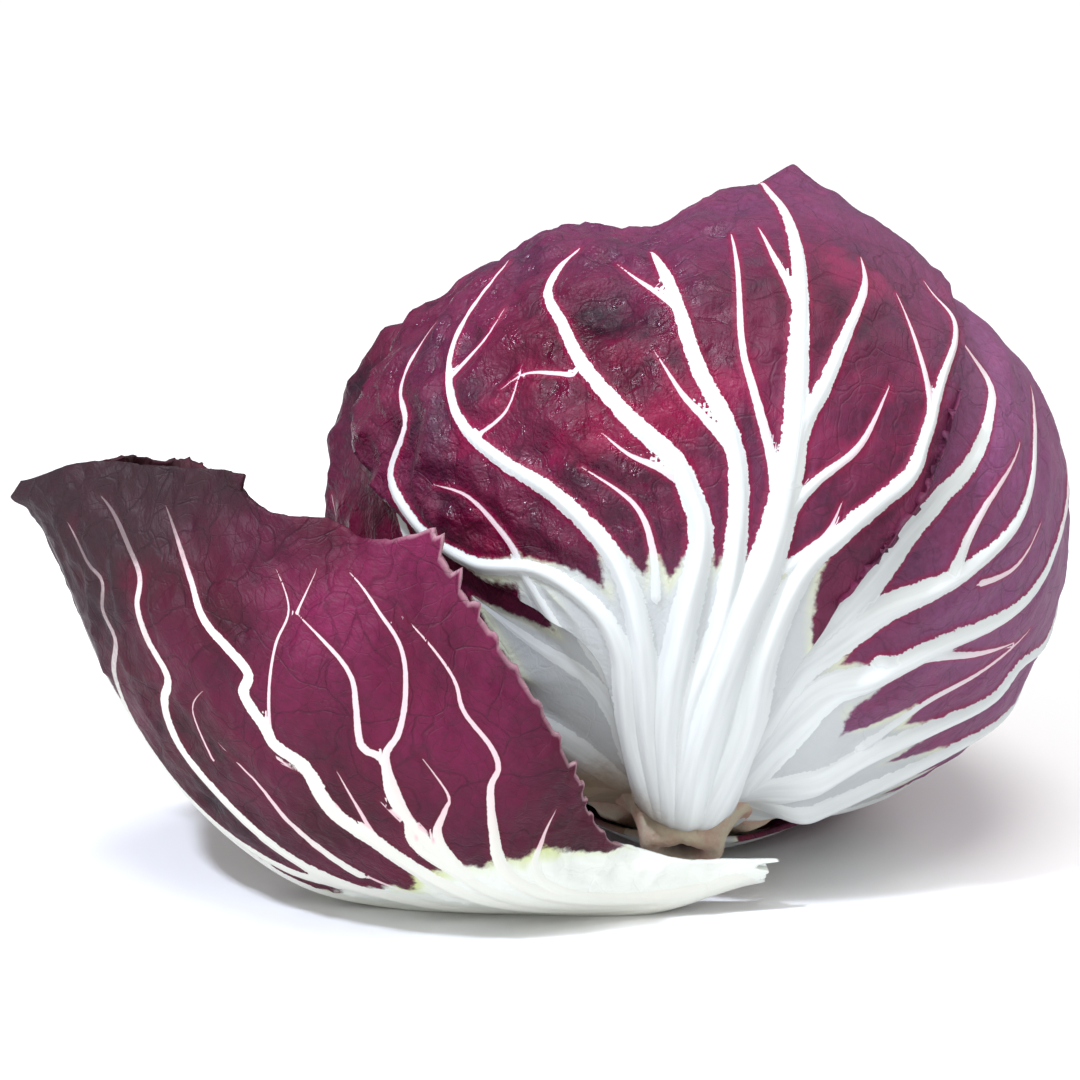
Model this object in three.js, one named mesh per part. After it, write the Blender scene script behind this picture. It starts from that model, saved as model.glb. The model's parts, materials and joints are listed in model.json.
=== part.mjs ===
// A head of radicchio, resting on a small flat spot beside its own base.
// Millimetres, +Z up. The origin is the centre of the flat spot, right under the middle of the head.
// The cut stem points forwards and down, -Y and -Z, and the crown points backwards and up.
// One outer leaf is peeled back and lies at the left, on its midrib, like a boat.
import * as THREE from 'three';
import { mergeVertices } from 'three/addons/utils/BufferGeometryUtils.js';

// ---- driving dimensions ----
const headCentre = new THREE.Vector3(0, 0, 56.5);
const crownLean = new THREE.Vector3(0.07, 0.612, 0.788).normalize();
const halfLength = 55; // of the head, from its middle to the base or the crown
const halfWidth = 63; // of the head, across
const baseBulge = 5; // how far the thick leaf bases stand out round the stem
const baseSpread = 22; // degrees from the stem over which they do
const dents = [ // where the round head is flatter, or fuller where the depth is below 0
  { towards: [-0.26, 0.25, 0.93], depth: 12, spread: 25 },
  { towards: [-0.7, 0.19, 0.69], depth: 4, spread: 18 },
  { towards: [0.74, 0.17, 0.65], depth: 5.5, spread: 20 },
  { towards: [0.71, -0.18, -0.68], depth: -1.5, spread: 20 },
];
const leafThickness = 1.1;
const leafPitch = 2.4; // from one wrapped leaf to the next one in
const coverEdge = 5; // degrees past a leaf's margin that the leaf under it still keeps down
const coverFade = 18; // degrees over which it then comes up
const stemRadius = 7;
const stemRootRadius = 5;
const stemTaper = 14; // over which it widens from its root
const stemEnd = 63; // distance of the cut from the middle of the head
const stemRoot = 34;
const cutBevel = 1.2; // of the cut's worn edge
const hollowRadius = 3.2; // of the small hollow in the cut
const hollowDepth = 5;
const heartGap = 2; // from the innermost leaves and from the stem
const heartBase = { from: 12, to: 60 }; // degrees from the stem over which the heart's base rounds out

const wine = 0x5a1a35;
const deepWine = 0x4a152d;
const paleRib = 0xe9e6dc;
const stemTan = 0xc9a78c;

// ---- directions seen from the middle of the head ----
// A leaf's own angles are along, from the stem over its midline to the crown, and across, to the right.
const frontUp = new THREE.Vector3(0, -crownLean.z, crownLean.y).normalize();
const frontRight = new THREE.Vector3().crossVectors(crownLean, frontUp).normalize();
frontUp.crossVectors(frontRight, crownLean).normalize();

const radians = THREE.MathUtils.degToRad;
const degrees = THREE.MathUtils.radToDeg;

function leafAxes(azimuth) {
  const turn = radians(azimuth);
  const middle = frontUp.clone().multiplyScalar(Math.cos(turn)).addScaledVector(frontRight, Math.sin(turn));
  const side = frontUp.clone().multiplyScalar(-Math.sin(turn)).addScaledVector(frontRight, Math.cos(turn));
  return { middle, side };
}

function directionOnLeaf(axes, along, across) {
  const inPlane = Math.cos(radians(across));
  return new THREE.Vector3()
    .addScaledVector(crownLean, -inPlane * Math.cos(radians(along)))
    .addScaledVector(axes.middle, inPlane * Math.sin(radians(along)))
    .addScaledVector(axes.side, Math.sin(radians(across)));
}

function anglesOnLeaf(axes, direction) {
  let along = degrees(Math.atan2(direction.dot(axes.middle), -direction.dot(crownLean)));
  if (along < -90) along += 360;
  const across = degrees(Math.asin(THREE.MathUtils.clamp(direction.dot(axes.side), -1, 1)));
  return new THREE.Vector2(along, across);
}

for (const dent of dents) dent.towards = new THREE.Vector3(...dent.towards).normalize();

// The head is an ellipsoid about its crown axis, a little dented, and flattened where it rests.
function headRadius(direction) {
  const axial = direction.dot(crownLean);
  const radial = Math.sqrt(Math.max(0, 1 - axial * axial));
  const fromStem = degrees(Math.acos(THREE.MathUtils.clamp(-axial, -1, 1)));
  const bulge = baseBulge * Math.exp(-((fromStem / baseSpread) ** 2));
  let round = 1 / Math.hypot(axial / halfLength, radial / halfWidth) + bulge;
  for (const dent of dents) {
    const away = degrees(direction.angleTo(dent.towards));
    round -= dent.depth * Math.exp(-((away / dent.spread) ** 2));
  }
  const toGround = direction.z < 0 ? headCentre.z / -direction.z : Infinity;
  return Math.min(round, toGround);
}

// ---- the wrapped leaves, outermost first ----
// left, midrib and right run from the stem to the tip, as [along, across] in degrees.
const innerOutline = {
  left: [[9, -5], [18, -22], [34, -42], [56, -58], [84, -68], [116, -66], [146, -50], [168, -28], [180, -8]],
  midrib: [[9, 0], [60, 0], [120, 0], [184, 0]],
  right: [[9, 5], [18, 22], [34, 42], [56, 58], [84, 68], [116, 66], [146, 50], [168, 28], [180, 8]],
};

const wrappedLeaves = [
  {
    name: 'back_leaf',
    azimuth: 180,
    left: [[9, -5], [18, -16], [36, -32], [66, -46], [100, -48], [130, -38], [152, -20], [160, -8]],
    midrib: [[9, 0], [50, 2], [100, 0], [163, 0]],
    right: [[9, 5], [18, 18], [36, 38], [66, 54], [100, 56], [130, 44], [152, 24], [160, 8]],
  },
  {
    name: 'front_leaf',
    azimuth: 0,
    left: [
      [9, -4], [29, -6], [43, -10], [49, -22], [48, -36], [53, -47],
      [66, -60], [90, -68], [114, -60], [138, -42], [158, -12],
    ],
    midrib: [[9, 0], [25, 1], [46, 5], [60, 9], [75, 11], [90, 11], [113, 10], [136, 6], [162, -2]],
    right: [
      [9, 4], [30, 6], [44, 13], [56, 22], [70, 31],
      [85, 36], [107, 40], [130, 38], [150, 24], [158, 8],
    ],
  },
  {
    name: 'right_leaf',
    azimuth: 90,
    left: [[4, -9], [5, -26], [9, -44], [24, -62], [55, -70], [90, -69], [118, -58], [140, -38], [152, -14]],
    midrib: [[10, -2], [20, -8], [42, -16], [66, -18], [92, -16], [125, -8], [156, 0]],
    right: [[10, 4], [16, 10], [30, 24], [50, 40], [80, 50], [110, 46], [136, 30], [152, 12]],
  },
  {
    name: 'left_leaf',
    azimuth: -60,
    left: [[10, -4], [16, -12], [30, -24], [52, -34], [80, -38], [108, -36], [130, -22], [140, -8]],
    midrib: [[9, 2], [25, 6], [50, 6], [80, 2], [110, 0], [144, 0]],
    right: [[5, 8], [10, 24], [25, 38], [50, 50], [80, 52], [108, 42], [130, 24], [140, 8]],
  },
  {
    name: 'back_right_leaf',
    azimuth: 128,
    left: [[9, -5], [20, -24], [42, -46], [70, -58], [100, -58], [130, -44], [156, -22], [166, -8]],
    midrib: [[9, 0], [50, 0], [100, 2], [168, 0]],
    right: [[9, 5], [20, 20], [42, 40], [70, 54], [100, 56], [130, 44], [156, 22], [166, 8]],
  },
  {
    name: 'back_left_leaf',
    azimuth: -125,
    left: [[9, -5], [20, -22], [42, -42], [70, -56], [100, -58], [130, -44], [150, -22], [160, -8]],
    midrib: [[9, 0], [50, 0], [100, -2], [162, 0]],
    right: [[9, 5], [20, 24], [42, 46], [70, 60], [100, 60], [130, 46], [150, 24], [160, 8]],
  },
  { name: 'inner_front_leaf', azimuth: 20, inner: true, ...innerOutline },
  { name: 'inner_back_leaf', azimuth: 200, inner: true, ...innerOutline },
  { name: 'inner_right_leaf', azimuth: 110, inner: true, ...innerOutline },
  { name: 'inner_left_leaf', azimuth: -70, inner: true, ...innerOutline },
];

function splineOf(points) {
  return new THREE.SplineCurve(points.map(([along, across]) => new THREE.Vector2(along, across)));
}

const marginSteps = 24; // to measure distances from a leaf's margin
const wrappedCells = 16; // along and across a wrapped leaf
for (const leaf of wrappedLeaves) {
  leaf.axes = leafAxes(leaf.azimuth);
  leaf.curves = { left: splineOf(leaf.left), midrib: splineOf(leaf.midrib), right: splineOf(leaf.right) };
  const rightEdge = leaf.curves.right.getSpacedPoints(marginSteps).reverse();
  leaf.outline = [...leaf.curves.left.getSpacedPoints(marginSteps), ...rightEdge];
}

// How far a direction lies outside a leaf's outline, in degrees, and 0 within it.
function distanceOutside(leaf, direction) {
  const point = anglesOnLeaf(leaf.axes, direction);
  const squeeze = Math.cos(radians(point.y));
  let inside = false;
  let nearest = Infinity;
  leaf.outline.forEach((start, index) => {
    const end = leaf.outline[(index + 1) % leaf.outline.length];
    const crosses = start.y > point.y !== end.y > point.y;
    if (crosses) {
      const crossing = start.x + ((point.y - start.y) / (end.y - start.y)) * (end.x - start.x);
      if (point.x < crossing) inside = !inside;
    }
    const toPoint = new THREE.Vector2((point.x - start.x) * squeeze, point.y - start.y);
    const edge = new THREE.Vector2((end.x - start.x) * squeeze, end.y - start.y);
    const share = THREE.MathUtils.clamp(toPoint.dot(edge) / Math.max(edge.lengthSq(), 1e-9), 0, 1);
    nearest = Math.min(nearest, toPoint.addScaledVector(edge, -share).length());
  });
  return inside ? 0 : nearest;
}

function leafRadius(order, direction) {
  let radius = headRadius(direction);
  for (const outer of wrappedLeaves.slice(0, order)) {
    const away = distanceOutside(outer, direction);
    radius -= leafPitch * (1 - THREE.MathUtils.smoothstep(away, coverEdge, coverEdge + coverFade));
  }
  return radius;
}

// A flat slab of cells, bent to shape: place(across, along, depth) gives each corner's point,
// with across from -1 to 1, along from 0 to 1, and depth 0 on the outer face and 1 on the inner.
function bentSlab(cellsAcross, cellsAlong, place) {
  const slab = new THREE.BoxGeometry(2, 1, 1, cellsAcross, cellsAlong, 1);
  slab.deleteAttribute('normal');
  slab.deleteAttribute('uv');
  const geometry = mergeVertices(slab);
  const corners = geometry.attributes.position;
  for (let index = 0; index < corners.count; index += 1) {
    const along = corners.getY(index) + 0.5;
    const depth = 0.5 - corners.getZ(index);
    const point = place(corners.getX(index), along, depth);
    corners.setXYZ(index, point.x, point.y, point.z);
  }
  geometry.computeVertexNormals();
  return geometry;
}

function named(name, geometry, color, roughness) {
  const mesh = new THREE.Mesh(geometry, new THREE.MeshStandardMaterial({ color, roughness, metalness: 0 }));
  mesh.name = name;
  return mesh;
}

function wrappedLeaf(leaf, order) {
  const geometry = bentSlab(wrappedCells, wrappedCells, (across, along, depth) => {
    const angles = leaf.curves.left.getPointAt(along).multiplyScalar((across * (across - 1)) / 2)
      .addScaledVector(leaf.curves.midrib.getPointAt(along), 1 - across * across)
      .addScaledVector(leaf.curves.right.getPointAt(along), (across * (across + 1)) / 2);
    const direction = directionOnLeaf(leaf.axes, angles.x, angles.y);
    const radius = leafRadius(order, direction) - depth * leafThickness;
    return direction.multiplyScalar(radius).add(headCentre);
  });
  return named(leaf.name, geometry, leaf.inner ? deepWine : wine, 0.45);
}

// ---- the peeled leaf ----
// Stations from the torn base to the tip. Each one goes from the far margin, over the far side,
// the midrib underneath and the near side, to the near margin.
const peeledStations = [
  [[8, -44, 6], [8, -45, 4.5], [8, -46, 5], [8.5, -48, 7], [8, -49, 10.5]],
  [[-12, -41.5, 2], [-12, -44, 1], [-12, -47, 1], [-11, -51, 5], [-11, -53, 12.5]],
  [[-34, -30, 5], [-33, -38, 1.5], [-32, -46, 0.3], [-28, -58, 8], [-20, -60, 22]],
  [[-58, -22, 28], [-55, -29, 9], [-50, -44, 0.3], [-42, -64, 17], [-25, -66, 41]],
  [[-66, -20, 56], [-73, -21, 26], [-68, -42, 4], [-60, -67, 33], [-42, -66, 67]],
  [[-76, -5, 57], [-88, -16, 32], [-85, -39, 17], [-75, -62, 41], [-58, -61, 66.5]],
  [[-86, 2, 62], [-98, -15, 48], [-98, -35, 36], [-89, -52, 51], [-75, -54, 68]],
  [[-96, -8, 67], [-104, -20, 60], [-106, -31.5, 55], [-100, -41, 63], [-90, -43, 74]],
  [[-110, -28, 69], [-111, -29, 68], [-112, -30, 67.5], [-111, -31, 69], [-110, -31, 70.5]],
];

function curveThrough(points) {
  return new THREE.CatmullRomCurve3(points, false, 'catmullrom', 0.5);
}

const peeledLines = [0, 1, 2, 3, 4].map(
  (line) => curveThrough(peeledStations.map((station) => new THREE.Vector3(...station[line]))),
);

function peeledPoint(across, along) {
  const place = THREE.MathUtils.clamp(along, 0, 1);
  const ring = curveThrough(peeledLines.map((line) => line.getPoint(place)));
  const point = ring.getPoint(THREE.MathUtils.clamp((across + 1) / 2, 0, 1));
  point.z = Math.max(point.z, 0);
  return point;
}

function peeledLeaf() {
  const probe = 0.01; // how far apart two points are taken for a tangent
  const cells = { across: 14, along: 22 };
  const geometry = bentSlab(cells.across, cells.along, (across, along, depth) => {
    const point = peeledPoint(across, along);
    const tangentAcross = peeledPoint(across + probe, along).sub(peeledPoint(across - probe, along));
    const tangentAlong = peeledPoint(across, along + probe).sub(peeledPoint(across, along - probe));
    const outward = tangentAcross.cross(tangentAlong).normalize();
    return point.addScaledVector(outward, -depth * leafThickness);
  });
  return named('peeled_leaf', geometry, wine, 0.45);
}

// ---- the stem and the heart ----
function stem() {
  const profile = [
    new THREE.Vector2(0, stemRoot),
    new THREE.Vector2(stemRootRadius, stemRoot),
    new THREE.Vector2(stemRadius, stemRoot + stemTaper),
    new THREE.Vector2(stemRadius, stemEnd - 2 * cutBevel),
    new THREE.Vector2(stemRadius - cutBevel, stemEnd),
    new THREE.Vector2(hollowRadius, stemEnd),
    new THREE.Vector2(hollowRadius / 2, stemEnd - hollowDepth),
    new THREE.Vector2(0, stemEnd - hollowDepth),
  ];
  const mesh = named('stem', new THREE.LatheGeometry(profile, 24), stemTan, 0.8);
  mesh.quaternion.setFromUnitVectors(new THREE.Vector3(0, 1, 0), crownLean.clone().negate());
  mesh.position.copy(headCentre);
  return mesh;
}

function heart() {
  const geometry = new THREE.SphereGeometry(1, 28, 18);
  const corners = geometry.attributes.position;
  for (let index = 0; index < corners.count; index += 1) {
    const direction = new THREE.Vector3().fromBufferAttribute(corners, index).normalize();
    const inLeaves = leafRadius(wrappedLeaves.length, direction) - leafThickness - heartGap;
    const fromStem = 180 - degrees(direction.angleTo(crownLean));
    const roundOut = THREE.MathUtils.smoothstep(fromStem, heartBase.from, heartBase.to);
    const overStem = stemRoot - heartGap + halfWidth * roundOut;
    const radius = Math.min(inLeaves, overStem);
    const point = direction.multiplyScalar(radius).add(headCentre);
    corners.setXYZ(index, point.x, point.y, point.z);
  }
  geometry.computeVertexNormals();
  return named('heart', geometry, paleRib, 0.6);
}

const radicchioHead = new THREE.Group();
radicchioHead.name = 'radicchio_head';
radicchioHead.add(stem(), heart(), peeledLeaf());
wrappedLeaves.forEach((leaf, order) => radicchioHead.add(wrappedLeaf(leaf, order)));

export default radicchioHead;
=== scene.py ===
import json
import math

import bmesh
import bpy
import numpy as np
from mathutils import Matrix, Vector, noise


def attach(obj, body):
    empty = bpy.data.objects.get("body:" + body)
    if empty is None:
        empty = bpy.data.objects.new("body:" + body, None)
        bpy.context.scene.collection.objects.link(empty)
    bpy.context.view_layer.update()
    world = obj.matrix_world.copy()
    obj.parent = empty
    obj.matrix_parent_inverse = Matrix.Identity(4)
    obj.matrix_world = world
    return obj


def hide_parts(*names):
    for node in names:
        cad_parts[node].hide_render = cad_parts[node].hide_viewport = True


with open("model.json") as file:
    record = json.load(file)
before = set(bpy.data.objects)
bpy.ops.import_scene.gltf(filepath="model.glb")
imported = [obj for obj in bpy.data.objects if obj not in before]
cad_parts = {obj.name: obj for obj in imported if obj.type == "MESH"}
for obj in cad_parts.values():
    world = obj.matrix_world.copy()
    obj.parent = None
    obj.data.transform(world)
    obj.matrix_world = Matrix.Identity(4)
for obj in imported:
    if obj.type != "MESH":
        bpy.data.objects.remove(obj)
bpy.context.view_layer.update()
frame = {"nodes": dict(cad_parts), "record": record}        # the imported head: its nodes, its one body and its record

# A head of radicchio: wrapped leaves round a heart, and one outer leaf peeled back.
# Lengths are in millimetres and angles in degrees until a piece is placed, in metres.
toMetres = 0.001
tiny = 1e-9              # stands in for a divisor that would be 0
lineSteps = 40           # between two points of a smooth line
restSpot = np.array(frame["record"]["mounts"][0]["pos_m"]) / toMetres

head = {
    "height": 56.5,                  # of its middle over the rest spot
    "crown": (0.07, 0.612, 0.788),   # from the stem to the crown
    "halfLength": 55,
    "halfWidth": 63,
    "baseBulge": 5,                  # the thick leaf bases round the stem
    "baseSpread": 22,
    "leafPitch": 2.4,                # from one wrapped leaf to the next one in
    "coverEdge": 4,                  # how far past a margin the leaf under it is still held down
    "coverFade": 10,
    "mmPerDegree": 1.05,             # across a leaf
    "dents": [                       # the way to it, its depth and its spread
        ((-0.26, 0.25, 0.93), 12, 25),
        ((-0.70, 0.19, 0.69), 4, 18),
        ((0.74, 0.17, 0.65), 5.5, 20),
        ((0.71, -0.18, -0.68), -1.5, 20),
        ((0.86, -0.24, -0.45), -1.4, 14),
        ((-0.20, -0.46, 0.865), 2.4, 13),
        ((-0.20, -0.14, 0.97), 3.6, 15),
        ((0.59, -0.42, 0.69), 2.2, 11),
        ((0.84, -0.38, 0.38), 1.4, 11),
        ((-0.74, -0.24, 0.62), 1.6, 9),
    ],
    "stain": ((-0.30, -0.60, -0.74), 3, 21),    # the way to it, and from where to where it fades
}


def unit(vectors):
    vectors = np.asarray(vectors, float)
    return vectors / np.maximum(np.linalg.norm(vectors, axis=-1, keepdims=True), tiny)


def smoothStep(values, low, high):
    share = np.clip((values - low) / (high - low), 0, 1)
    return share * share * (3 - 2 * share)


def noiseAt(points, size, shift):
    # smooth noise from about -1 to 1, with lumps of the given size
    return np.array([noise.noise(Vector(point)) for point in points / size + shift])


def smoothLine(points, count):
    # evenly spaced points on a Catmull-Rom line
    points = np.asarray(points, float)
    padded = np.vstack([points[:1], points, points[-1:]])
    place = np.linspace(0, len(points) - 1, lineSteps * (len(points) - 1) + 1)
    start = np.minimum(place.astype(int), len(points) - 2)
    share = (place - start)[:, None]
    a, b, c, d = (padded[start + step] for step in range(4))
    dense = 0.5 * (2 * b + (c - a) * share + (2 * a - 5 * b + 4 * c - d) * share**2
                   + (3 * b - a - 3 * c + d) * share**3)
    walked = np.append(0, np.cumsum(np.linalg.norm(np.diff(dense, axis=0), axis=1)))
    stops = np.linspace(0, walked[-1], count)
    return np.stack([np.interp(stops, walked, column) for column in dense.T], axis=1)


def distanceToLine(points, line, closed=False):
    # the nearest distance to a broken line, and how far along it that is, from 0 to 1
    starts, ends = (line, np.roll(line, -1, axis=0)) if closed else (line[:-1], line[1:])
    best = np.full(len(points), np.inf)
    place = np.zeros(len(points))
    for index, (start, end) in enumerate(zip(starts, ends)):
        edge = end - start
        share = np.clip((points - start) @ edge / max(edge @ edge, tiny), 0, 1)
        away = np.linalg.norm(points - start - share[:, None] * edge, axis=1)
        nearer = away < best
        best[nearer] = away[nearer]
        place[nearer] = (index + share[nearer]) / len(starts)
    return best, place


# the head's own directions, from its middle
headCentre = restSpot + np.array([0, 0, head["height"]])
crown = unit(head["crown"])
frontUp = unit(np.array([0, -crown[2], crown[1]]))
frontRight = unit(np.cross(crown, frontUp))
frontUp = np.cross(frontRight, crown)
dentCentres = [unit(towards) for towards, _, _ in head["dents"]]


def degreesFrom(centre, directions):
    return np.degrees(np.arccos(np.clip(directions @ centre, -1, 1)))


def pointsAt(directions, radius):
    return headCentre + directions * radius[:, None]


def headRadius(directions):
    axial = directions @ crown
    radial = np.sqrt(np.clip(1 - axial**2, 0, None))
    radius = 1 / np.hypot(axial / head["halfLength"], radial / head["halfWidth"])
    fromStem = degreesFrom(-crown, directions)
    radius += head["baseBulge"] * np.exp(-((fromStem / head["baseSpread"]) ** 2))
    for centre, (_, depth, spread) in zip(dentCentres, head["dents"]):
        radius -= depth * np.exp(-((degreesFrom(centre, directions) / spread) ** 2))
    down = np.maximum(-directions[:, 2], tiny)
    return np.minimum(radius, head["height"] / down)


def leafAxes(azimuth):
    turn = math.radians(azimuth)
    middle = frontUp * math.cos(turn) + frontRight * math.sin(turn)
    side = frontRight * math.cos(turn) - frontUp * math.sin(turn)
    return middle, side


def directionsOnLeaf(axes, angles):
    along, across = np.radians(angles[:, 0:1]), np.radians(angles[:, 1:2])
    middle, side = axes
    inPlane = middle * np.sin(along) - crown * np.cos(along)
    return inPlane * np.cos(across) + side * np.sin(across)


def anglesOnLeaf(axes, directions):
    middle, side = axes
    along = np.degrees(np.arctan2(directions @ middle, -(directions @ crown)))
    along = np.where(along < -90, along + 360, along)
    across = np.degrees(np.arcsin(np.clip(directions @ side, -1, 1)))
    return np.stack([along, across], axis=1)


def distanceOutside(leaf, directions):
    # how far each direction lies outside the leaf's outline, in degrees, and 0 within it
    angles = anglesOnLeaf(leaf["axes"], directions)
    squeeze = np.cos(np.radians(angles[:, 1]))
    inside = np.zeros(len(angles), bool)
    nearest = np.full(len(angles), np.inf)
    outline = leaf["outline"]
    for start, end in zip(outline, np.roll(outline, -1, axis=0)):
        crosses = (start[1] > angles[:, 1]) != (end[1] > angles[:, 1])
        run = end[0] - start[0]
        rise = end[1] - start[1]
        crossing = start[0] + (angles[:, 1] - start[1]) / (rise or tiny) * run
        inside ^= crosses & (angles[:, 0] < crossing)
        toPoint = np.stack([(angles[:, 0] - start[0]) * squeeze, angles[:, 1] - start[1]], axis=1)
        edge = np.stack([run * squeeze, np.full(len(angles), rise)], axis=1)
        share = np.clip((toPoint * edge).sum(1) / np.maximum((edge**2).sum(1), tiny), 0, 1)
        nearest = np.minimum(nearest, np.linalg.norm(toPoint - share[:, None] * edge, axis=1))
    return np.where(inside, 0, nearest)


def coverShare(leaf, directions):
    away = distanceOutside(leaf, directions)
    return 1 - smoothStep(away, head["coverEdge"], head["coverEdge"] + head["coverFade"])


def addObject(name, data):
    thing = bpy.data.objects.new(name, data)
    bpy.context.scene.collection.objects.link(thing)
    return thing


def addPiece(name, bm):
    # a new object with the shape of a bmesh, which is freed
    mesh = bpy.data.meshes.new(name)
    bm.to_mesh(mesh)
    bm.free()
    return addObject(name, mesh)


def readCorners(piece):
    corners = np.empty(len(piece.data.vertices) * 3)
    piece.data.vertices.foreach_get("co", corners)
    return corners.reshape(-1, 3)


def placeCorners(piece, points):
    piece.data.vertices.foreach_set("co", (points * toMetres).ravel())
    piece.data.polygons.foreach_set("use_smooth", np.ones(len(piece.data.polygons), bool))
    piece.data.update()


def gridPiece(name, cells):
    # a square grid, and how far across it, from -1 to 1, and along it, from 0 to 1, its corners are
    bm = bmesh.new()
    bmesh.ops.create_grid(bm, x_segments=cells[0], y_segments=cells[1], size=1)
    piece = addPiece(name, bm)
    corners = readCorners(piece)
    return piece, corners[:, 0], (corners[:, 1] + 1) / 2


def linearColour(red, green, blue):
    # a colour given as on a screen, 0 to 255
    return tuple(((value / 255 + 0.055) / 1.055) ** 2.4 if value > 10 else value / 3294.6
                 for value in (red, green, blue)) + (1.0,)


def addNode(tree, kind, inputs=None, **settings):
    # inputs are values or the sockets of other nodes, by name or number
    made = tree.nodes.new(kind)
    for key, value in settings.items():
        setattr(made, key, value)
    for key, value in (inputs or {}).items():
        if isinstance(value, bpy.types.NodeSocket):
            tree.links.new(value, made.inputs[key])
        else:
            made.inputs[key].default_value = value
    return made


def addMath(tree, operation, *values, clamp=False):
    made = addNode(tree, "ShaderNodeMath", dict(enumerate(values)), operation=operation, use_clamp=clamp)
    return made.outputs[0]


def addRange(tree, value, low, high, toLow=0.0, toHigh=1.0):
    made = addNode(tree, "ShaderNodeMapRange", {
        "Value": value, "From Min": low, "From Max": high, "To Min": toLow, "To Max": toHigh,
    }, interpolation_type="SMOOTHSTEP")
    return made.outputs["Result"]


def addColourMix(tree, share, first, second):
    made = addNode(tree, "ShaderNodeMix", {0: share, 6: first, 7: second}, data_type="RGBA")
    return made.outputs[2]


def addNumberMix(tree, share, first, second):
    made = addNode(tree, "ShaderNodeMix", {0: share, 2: first, 3: second}, data_type="FLOAT")
    return made.outputs[0]


def addNoise(tree, vector, scale, detail, roughness, output="Fac"):
    made = addNode(tree, "ShaderNodeTexNoise", {
        "Vector": vector, "Scale": scale, "Detail": detail, "Roughness": roughness})
    return made.outputs[output]


def addStretch(tree, vector, scale):
    return addNode(tree, "ShaderNodeMapping", {"Vector": vector, "Scale": scale}).outputs["Vector"]


def addPlace(tree):
    return addNode(tree, "ShaderNodeTexCoord").outputs["Object"]


def addRead(tree, attribute):
    return addNode(tree, "ShaderNodeAttribute", attribute_name=attribute).outputs["Fac"]


def addBump(tree, shader, height, strength, distance):
    bump = addNode(tree, "ShaderNodeBump", {"Height": height, "Strength": strength, "Distance": distance})
    tree.links.new(bump.outputs["Normal"], shader.inputs["Normal"])


def newMaterial(name):
    material = bpy.data.materials.new(name)
    material.use_nodes = True
    tree = material.node_tree
    return material, tree, tree.nodes["Principled BSDF"]


def newGroup(name, inputs, outputs):
    tree = bpy.data.node_groups.new(name, "ShaderNodeTree")
    for way, sockets in (("INPUT", inputs), ("OUTPUT", outputs)):
        for socketName, kind in sockets.items():
            tree.interface.new_socket(name=socketName, in_out=way, socket_type=kind)
    start = tree.nodes.new("NodeGroupInput").outputs
    end = tree.nodes.new("NodeGroupOutput").inputs
    return tree, start, end


tissue = {
    # a pattern is its scale, detail and roughness
    "coarseJag": (620, 3, 0.6),
    "fineJag": (2100, 2, 0.6),
    "warp": (90, 2, 0.5),
    "blotch": (75, 8, 0.72),
    "flush": (48, 4, 0.6),
    "speckle": (900, 4, 0.7),
    "tint": (70, 4, 0.6),
    "bead": (1300, 2, 0.5),
    "film": (260, 5, 0.65),
    "crinkle": (1, 5, 0.6),
    "streak": (1, 3, 0.5),
    # a fade is from where to where, and then what it fades from and to, if that isn't 0 and 1
    "ribEdge": (-0.08, 0.06),
    "fringe": (-1.1, -0.02),
    "smoothEdge": (0.2, 1.6, 0.12, 1.0),    # a thin rib has a smoother edge
    "nearRib": (-0.3, -0.5, 0.0, 9.0),
    "thinOnly": (1.0, 1.4, 0.0, 9.0),
    "blade": (0.24, 0.6),
    "flushed": (0.54, 0.7, 0.0, 0.55),
    "bloomed": (0.2, 0.75, 0.55, 1.0),
    "paleEdge": (0.4, 0.62),
    "tinted": (1.0, 0.6),
    "tintPatch": (0.35, 0.6),
    "groove": (0.62, 0.36, 0.0, 0.45),
    "pink": (1.0, 0.25, 0.0, 0.85),
    "pinkAway": (1.0, 0.4),
    "stained": (0.4, 1.2),
    "flatPale": (0.3, 0.8, 1.0, 0.3),
    "rough": (0.25, 0.75, 0.5, 0.62),
    "filmPatch": (0.45, 0.6),
    # the two nets of small veins: their scale, how wide a vein is, and how much of it is used
    "nets": ((110, 0.035), (330, 0.06)),
    "fineNet": 0.45,
    "warped": 0.012,
    "ribRough": 0.5,
    "wetRough": 0.12,
    "bumpDepth": 0.0008,
    "shine": 0.25,
    "crinkleStretch": (3.0, 1.1, 1.0),
    "streakStretch": (0.5, 0.03, 1.0),
}

# the inputs of the tissue group, and the attribute or the value of a look that each one gets
tissueReads = {
    "Rib": "rib", "Rib Width": "ribWidth", "Rib Across": "ribAcross", "Rim": "rim", "Wet": "wet",
    "Pale": "pale", "Mauve": "mauveAndSheen", "Hollow": "hollow", "Core": "core",
}
tissueNumbers = {"Jag": "jag", "Net": "net"}
tissueColours = {
    "Dark": "dark", "Light": "light", "Bloom": "bloomAndSheen", "Fringe": "fringe", "Rib Colour": "rib",
    "Thin Rib": "thinRib", "Pale Colour": "pale", "Pale Tint": "paleTint", "Core Colour": "core",
}


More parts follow.
